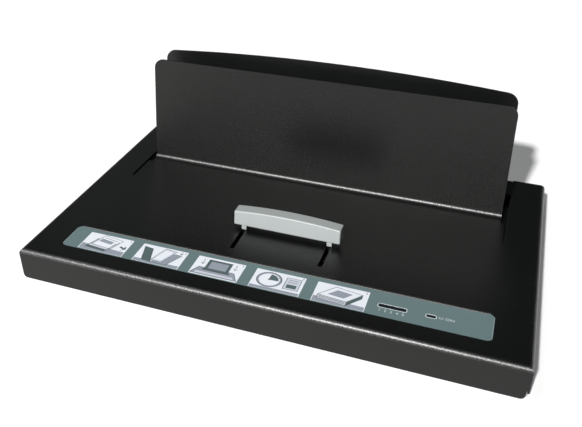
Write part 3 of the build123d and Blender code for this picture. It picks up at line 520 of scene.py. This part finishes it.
# Each pictogram: its shapes by ink, from the lowest layer up, and its lines on top of them.
# Millimetres about the card's centre.
pictograms = [
    {   # loose sheets, knocked square on a desk
        "shapes": [("mist", [(-20, -13), (20, -13), (20, -6.5), (-20, -4.5)]),
                   ("teal", [(-16, -9), (3, -11), (8, 3), (-10, 6)]),
                   ("pale", [(-14, -6.5), (5, -8.5), (10, 6), (-8, 9)]),
                   ("card", [(-12, -4), (7, -6), (12, 9), (-6, 12)]),
                   ("mist", [(-8, 2), (4, 0.4), (5.6, 4.6), (-6.4, 6.6)]),
                   ("teal", [(13, -1), (17, -2.5), (15.4, -5.5), (19.4, -1.5), (17.8, 2.6),
                             (17.2, -0.4), (13.4, 1.2)])],
        "lines": [[(-16, -9), (3, -11), (8, 3)], [(-14, -6.5), (5, -8.5), (10, 6)],
                  [(-12, -4), (7, -6), (12, 9), (-6, 12), (-12, -4)],
                  [(-4.6, 8.6), (7.4, 6.6)]],
    },
    {   # sheets go into an open cover
        "shapes": [("mist", [(-20, -13), (20, -13), (20, -9), (-20, -9)]),
                   ("teal", [(-13, -10), (-5, -11), (-10, 8), (-18, 9.5)]),
                   ("mist", [(-5, -11), (9, -11), (17, 6), (4, 7)]),
                   ("pale", [(-5.5, -8), (4, -8.5), (11, 10.5), (0.5, 11.8)]),
                   ("card", [(-3.5, -5.5), (3, -5.9), (8.6, 8.6), (1, 9.6)])],
        "lines": [[(-13, -10), (-5, -11), (-10, 8), (-18, 9.5), (-13, -10)],
                  [(-5, -11), (9, -11), (17, 6), (11, 6.5)],
                  [(-5.5, -8), (4, -8.5), (11, 10.5), (0.5, 11.8), (-5.5, -8)],
                  [(15.5, 12), (15.5, 8), (13.5, 9.6), (15.5, 7.4), (17.5, 9.6), (15.5, 8)]],
    },
    {   # the cover stands in the slot
        "shapes": [("mist", [(-20, -12), (20, -12), (15, -2), (-15, -2)]),
                   ("pale", [(-17, -10.6), (17, -10.6), (15.6, -8), (-15.6, -8)]),
                   ("dark", [(-12, -5.4), (12, -5.4), (11.4, -3.6), (-11.4, -3.6)]),
                   ("teal", [(-10, -4.6), (10, -4.6), (10, 10.4), (-10, 10.4)]),
                   ("mist", [(-7.6, -2), (7.6, -2), (7.6, 8), (-7.6, 8)])],
        "lines": [[(-20, -12), (20, -12), (15, -2), (10, -2)], [(-20, -12), (-15, -2), (-10, -2)],
                  [(-10, -4.6), (10, -4.6), (10, 10.4), (-10, 10.4), (-10, -4.6)],
                  [(-14, 10), (-14, 3), (-16, 5.2), (-14, 2.4), (-12, 5.2), (-14, 3)],
                  [(14, 10), (14, 3), (12, 5.2), (14, 2.4), (16, 5.2), (14, 3)]],
    },
    {   # wait for the glue: a dial and its hands
        "shapes": [("mist", [(-20, -13), (20, -13), (20, -9.6), (-20, -9.6)]),
                   ("mist", ring(-7, 1, 10.2)), ("card", ring(-7, 1, 8.4)),
                   ("teal", [(-7, 1), (-7, 8.6), (-3.2, 7.6), (-0.4, 4.8), (0.6, 1)]),
                   ("pale", [(6, -7), (18, -7), (18, 9), (6, 9)]),
                   ("teal", [(8, -5), (16, -5), (16, 0), (8, 0)])],
        "lines": [[(-7, 1), (-7, 6.6)], [(-7, 1), (-2.4, 1)],
                  [(6, -7), (18, -7), (18, 9), (6, 9), (6, -7)],
                  [(8, 3), (16, 3)], [(8, 6), (16, 6)]],
        "rings": [ring(-7, 1, 10.2), ring(-7, 1, 0.8, 8)],
    },
    {   # the bound book
        "shapes": [("mist", [(-20, -13), (20, -13), (20, -8), (-20, -6)]),
                   ("pale", [(-17, -8.5), (6, -11), (6, -6), (-17, -3.5)]),
                   ("card", [(-17, -3.5), (6, -6), (16, 7), (-5.5, 10.5)]),
                   ("teal", [(6, -11), (16, 2), (16, 7), (6, -6)]),
                   ("mist", [(-10, -1), (3, -2.4), (8.6, 5), (-3.4, 6.8)])],
        "lines": [[(-17, -8.5), (6, -11), (16, 2), (16, 7), (-5.5, 10.5), (-17, -3.5), (-17, -8.5)],
                  [(-17, -3.5), (6, -6), (16, 7)], [(6, -11), (6, -6)],
                  [(-16, -5.1), (5, -7.5)], [(-16, -6.7), (5, -9.1)]],
    },
]

prints = {name: [] for name in inks}
for number, motif in enumerate(pictograms, 1):
    card_x = FIRST_CARD_X + (number - 1) * CARD_PITCH
    prints["card"].append(filled(rounded(CARD_LENGTH, CARD_DEPTH, CARD_CORNER), card_x, CARD_Y, 0))
    for layer, (name, outline) in enumerate(motif["shapes"], 1):
        prints[name].append(filled(outline, card_x, CARD_Y, layer))
    top_layer = len(motif["shapes"]) + 1
    prints["dark"].append(stroked(motif["lines"], card_x, CARD_Y, top_layer))
    if "rings" in motif:
        prints["dark"].append(stroked(motif["rings"], card_x, CARD_Y, top_layer, closed=True))
    prints["dark"].append(figures(str(number), card_x + CARD_LENGTH / 2 - FIGURE_INSET[0],
                                  CARD_Y + CARD_DEPTH / 2 - FIGURE_INSET[1], CARD_FIGURE, 1))

# Outlines round the windows, the scale of the time window and the sign beside the heat window.
for x, length, depth in (TIME_WINDOW, HEAT_WINDOW):
    rim = rounded(length + RIM_MARGIN, depth + RIM_MARGIN, RIM_CORNER)
    prints["white"].append(stroked([rim], x, WINDOW_Y, 0, RIM_LINE, True))
for number in range(1, 6):
    prints["white"].append(figures(str(number), TIME_WINDOW[0] + (number - 3) * SCALE_PITCH,
                                   WINDOW_Y - SCALE_DROP, SCALE_FIGURE, 0))
heat_waves = [[(wave_x + 0.35 * (-1) ** step, 0.45 * step - 1.1) for step in range(6)]
              for wave_x in (-1.3, 0.0, 1.3)]
prints["white"].append(stroked(heat_waves, HEAT_WINDOW[0] + WAVES_REACH, WINDOW_Y, 0, WAVE_LINE))
# The strip's rear edge: a dark line of ink as painted shade, and a lighter one behind it as a
# painted highlight where the recess's rear wall would catch the light.
for name, inset, width in (("dark", 0.95, 0.35), ("edge", 0.45, 0.5)):
    along = [(side * EDGE_REACH, STRIP_REAR_Y - inset) for side in (-1, 1)]
    prints[name].append(stroked([along], 0, 0, 0, width))
prints["white"].append(figures("ON", HEAT_WINDOW[0] + CAPTION_REACH, WINDOW_Y,
                               CAPTION_FIGURE, 0))
for name, pieces in prints.items():
    settle(joined(pieces), "strip_" + name + "_print", inks[name], "casing")


# ---- Screws with their drives ---------------------------------------------------------------
def cross_drive(size, depth):
    """The cutter for a cross recess: two crossed bars that taper downwards, their middle at the
    origin and half their height the recess's depth."""
    width, taper = 0.24, 0.45
    bars = []
    for turn in (0.0, pi / 2):
        nothing_selected()
        bpy.ops.mesh.primitive_cube_add(size=1.0, location=(0, 0, 0))
        bar = bpy.context.object
        bar.scale = (size * MM, size * width * MM, 2 * depth * MM)
        bar.rotation_euler.z = turn
        place_applied(bar)
        for corner in bar.data.vertices:
            if corner.co.z < 0:
                corner.co.x *= taper
                corner.co.y *= taper
        bars.append(bar)
    return bars


def edit_end(piece, facing):
    """Go into editing with only the flat end of a round piece selected, +1 top or -1 bottom."""
    level = 0.99
    pick(piece)
    bpy.ops.object.mode_set(mode="EDIT")
    bpy.ops.mesh.select_mode(type="FACE")
    bpy.ops.mesh.select_all(action="DESELECT")
    bpy.ops.object.mode_set(mode="OBJECT")
    for face in piece.data.polygons:
        face.select = face.normal.z * facing > level
    bpy.ops.object.mode_set(mode="EDIT")


def screw(head_radius, head_height, shank_radius, shank, sunk):
    """A cross-head screw along Z, its head's top at the origin for a countersunk one,
    its head's underside at the origin for a pan head."""
    top = 0.0 if sunk else head_height
    drive_size, drive_depth = head_radius * 1.15, head_height * 0.62
    nothing_selected()
    bpy.ops.mesh.primitive_cylinder_add(vertices=40, radius=head_radius * MM,
                                        depth=head_height * MM,
                                        location=(0, 0, (top - head_height / 2) * MM))
    made = bpy.context.object
    place_applied(made)
    edit_end(made, -1 if sunk else 1)
    if sunk:
        ratio = shank_radius / head_radius
        bpy.ops.transform.resize(value=(ratio, ratio, 1.0))
    else:
        bpy.ops.mesh.bevel(offset=head_height * 0.5 * MM, segments=4, affect="EDGES")
    edit_end(made, -1)
    if not sunk:
        bpy.ops.mesh.inset(thickness=(head_radius - shank_radius) * MM)
    bpy.ops.mesh.extrude_region_move(TRANSFORM_OT_translate={"value": (0, 0, -shank * MM)})
    bpy.ops.object.mode_set(mode="OBJECT")
    for bar in cross_drive(drive_size, drive_depth):
        bar.location.z = top * MM
        place_applied(bar)
        pick(made)
        cut = made.modifiers.new("drive", "BOOLEAN")
        cut.operation = "DIFFERENCE"
        cut.object = bar
        bpy.ops.object.modifier_apply(modifier="drive")
        bpy.data.objects.remove(bar)
    pick(made)
    bpy.ops.object.shade_smooth_by_angle(angle=radians(30))
    return made


def screws(node, master, places, slot, body="casing"):
    """Copies of one screw that stand for a node. Each place is x, y and z and the turns about X
    and Y that point the head outwards; the drives all stand at different angles."""
    first_angle, next_angle = 17, 41
    copies = []
    for number, (x, y, z, turn_x, turn_y) in enumerate(places):
        copy = master.copy()
        copy.data = master.data.copy()
        bpy.context.collection.objects.link(copy)
        copy.matrix_world = (Matrix.Translation((x * MM, y * MM, z * MM))
                             @ Matrix.Rotation(radians(turn_y), 4, "Y")
                             @ Matrix.Rotation(radians(turn_x), 4, "X")
                             @ Matrix.Rotation(radians(first_angle + next_angle * number),
                                               4, "Z"))
        copies.append(copy)
    piece = settle(joined(copies), node + "_cross", finishes[slot], body)
    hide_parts(node)


M3, M3_HEAD, M3_HEIGHT = 1.5, 2.8, 1.4        # shank radius; pan head's radius and height
SUNK_HEAD, SUNK_HEIGHT = 2.65, 1.2
DOWN, REARWARD = (180, 0), (-90, 0)           # turns that make a head face that way
SIDES = (-1, 1)
COVER_UNDERSIDE, TRAY_UNDERSIDE = 2.5, 4.0
CARRIAGE_REAR_Y = 92.5
pan_cover = screw(M3_HEAD, M3_HEIGHT, M3, 4.7, False)
pan_rail = screw(M3_HEAD, M3_HEIGHT, M3, 10.2, False)
pan_heater = screw(M3_HEAD, M3_HEIGHT, M3, 11.9, False)
pan_plate = screw(M3_HEAD, M3_HEIGHT, M3, 3.0, False)
sunk_m3 = screw(SUNK_HEAD, SUNK_HEIGHT, M3, 4.8, True)
screws("rear_cover_screws", pan_cover,
       [(x, REAR_Y - 5.2, COVER_UNDERSIDE, *DOWN) for x in (-130, 0, 130)], "screw_black")
screws("rail_screws", pan_rail,
       [(side * 166.4, y, TRAY_UNDERSIDE, *DOWN) for side in SIDES for y in (-62.0, 16.3, 94.6)],
       "screw_zinc")
screws("heater_screws", pan_heater,
       [(side * 146, y, TRAY_UNDERSIDE, *DOWN) for side in SIDES for y in (68.2, 94.6)],
       "screw_zinc")
screws("back_plate_screws", pan_plate,
       [(side * 164.9, CARRIAGE_REAR_Y, z, *REARWARD) for side in SIDES for z in (34.0, 42.5)],
       "screw_black", "clamp")
screws("side_screws", sunk_m3,
       [(side * HALF_WIDTH, y, 12.2, 0, side * 90) for side in SIDES for y in (-76.0, 74.0)],
       "screw_black")
screws("inlet_screws", sunk_m3,
       [(INLET_X + side * INLET_SCREW_REACH, REAR_Y + INLET_FLANGE, WALL_MID_Z, *REARWARD)
        for side in SIDES], "screw_black")
for master in (pan_cover, pan_rail, pan_heater, pan_plate, sunk_m3):
    bpy.data.objects.remove(master)

# ---- Studio ---------------------------------------------------------------------------------
FLOOR_SIDE = 60.0             # metres
FLOOR_GLOW = 0.14             # seen by the camera and in gloss, over the floor's own light
nothing_selected()
bpy.ops.mesh.primitive_plane_add(size=FLOOR_SIDE, location=(0, 0, 0))
floor = bpy.context.object
floor.name = "floor"
ground = Finish("floor_white")
mottle = ground.noise(3.0, 2.0)
seen = [ground.node("ShaderNodeLightPath", {}, {}, "Is %s Ray" % kind)
        for kind in ("Camera", "Glossy", "Transmission")]
glow = (seen[0] + seen[1] + seen[2]).smaller(1.0)
floor.data.materials.append(ground.surface(
    ground.mix(mottle, (0.955, 0.952, 0.945), (0.965, 0.962, 0.955)), 0.9,
    Specular_IOR_Level=0.0, Emission_Strength=FLOOR_GLOW,
    Emission_Color=ground.mix(glow, (0.0, 0.0, 0.0), (1.0, 1.0, 1.0))))

# A dark room with a white band just over the floor's far edge.
HORIZON = (0.03, (1.0, 1.0, 1.0))
ROOM = (0.10, (0.012, 0.016, 0.0185))
room = Finish("studio", bpy.data.worlds, "Generated")
height = room.node("ShaderNodeSeparateXYZ", {}, {0: room.where}, 2)
fade = room.node("ShaderNodeValToRGB", {"stops": (HORIZON, ROOM)}, {0: height})
background = room.node("ShaderNodeBackground", {}, {"Color": fade})
room.node("ShaderNodeOutputWorld", {}, {"Surface": background})
bpy.context.scene.world = room.owner


def lamp(name, kind, place, target, energy, **settings):
    data = bpy.data.lights.new(name, kind)
    data.energy = energy
    for setting, value in settings.items():
        setattr(data, setting, value)
    made = bpy.data.objects.new(name, data)
    bpy.context.collection.objects.link(made)
    made.location = place
    made.rotation_euler = (Vector(place) - Vector(target)).to_track_quat("Z", "Y").to_euler()


def softbox(name, place, target, size, watts):
    lamp(name, "AREA", place, target, watts, shape="DISK", size=size)


lamp("key", "SUN", (-0.22, -1.53, 1.0), (0, 0, 0), 4.9, angle=radians(2.6))
softbox("fill_above", (-0.45, -0.70, 1.45), (0, 0, 0.03), 0.5, 3.0)
softbox("fill_behind", (0.6, 1.3, 1.5), (0, 0, 0.05), 0.8, 0.4)
softbox("fill_left", (-0.62, -0.60, 0.36), (-0.20, -0.14, 0.02), 0.25, 1.1)
softbox("fill_rear_left", (-0.87, 1.13, 0.78), (-0.15, -0.05, 0.03), 0.6, 0.22)

# ---- Camera ---------------------------------------------------------------------------------
CAMERA_PLACE = (0.16317, -0.65177, 0.41394)
AZIMUTH, ELEVATION, ROLL = 0.38971, 0.42375, -0.00503     # radians
camera_data = bpy.data.cameras.new("camera")
camera_data.sensor_width = 36.0
camera_data.lens = 52.157
camera_data.shift_x = 0.16989
camera_data.shift_y = -0.14224
camera = bpy.data.objects.new("camera", camera_data)
bpy.context.collection.objects.link(camera)
camera.matrix_world = (Matrix.Translation(CAMERA_PLACE)
                       @ Matrix.Rotation(AZIMUTH, 4, "Z")
                       @ Matrix.Rotation(pi / 2 - ELEVATION, 4, "X")
                       @ Matrix.Rotation(ROLL, 4, "Z"))
bpy.context.scene.camera = camera
bpy.context.scene.view_settings.view_transform = "Standard"
